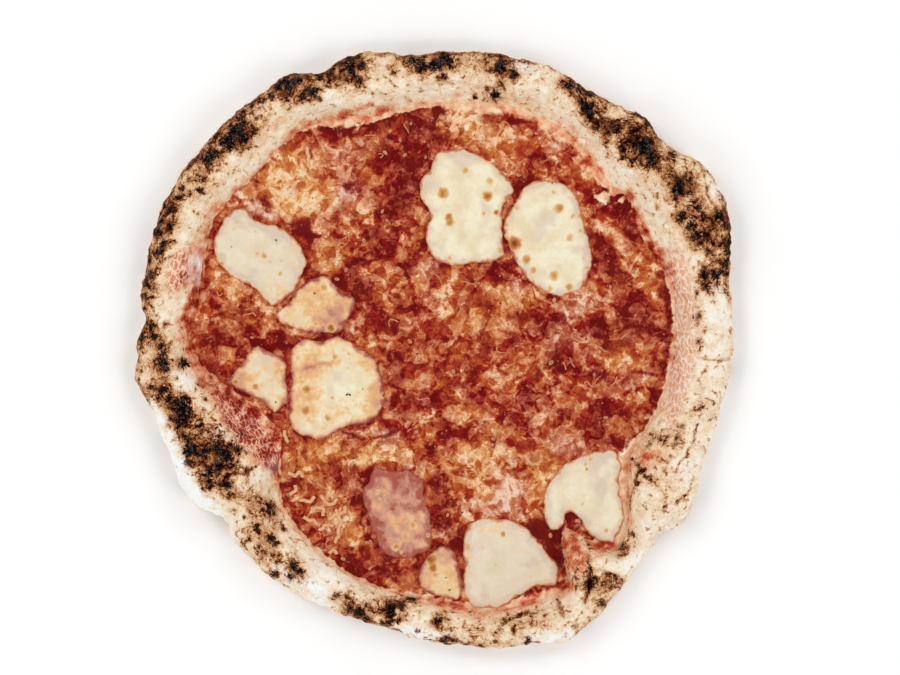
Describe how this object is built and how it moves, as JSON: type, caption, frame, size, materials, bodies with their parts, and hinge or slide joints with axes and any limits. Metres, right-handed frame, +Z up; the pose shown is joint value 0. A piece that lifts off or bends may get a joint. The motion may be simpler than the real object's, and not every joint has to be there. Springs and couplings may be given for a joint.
{
  "type": "margherita pizza",
  "caption": "Whole round margherita pizza with a puffed, leopard-charred rim, thin tomato sauce and melted mozzarella.",
  "frame": {"origin": "the middle of the overall outline, on the flat underside", "axes": "+Z up out of the topped side, +Y away from the eater towards the top edge, +X to the right"},
  "size_m": [0.3218, 0.3218, 0.0235],
  "materials": {
    "crust": "floury baked dough, charred in spots",
    "sauce": "wet, oily tomato sauce",
    "cheese": "melted, soft satin"
  },
  "bodies": {
    "root": {"dough": "crust", "tomato_sauce": "sauce", "mozzarella_top": "cheese", "mozzarella_top_right": "cheese", "mozzarella_left_top": "cheese", "mozzarella_left_middle": "cheese", "mozzarella_left_small": "cheese", "mozzarella_left_large": "cheese", "mozzarella_near_left": "cheese", "mozzarella_near_small": "cheese", "mozzarella_near_large": "cheese", "mozzarella_right": "cheese"}
  },
  "joints": []
}
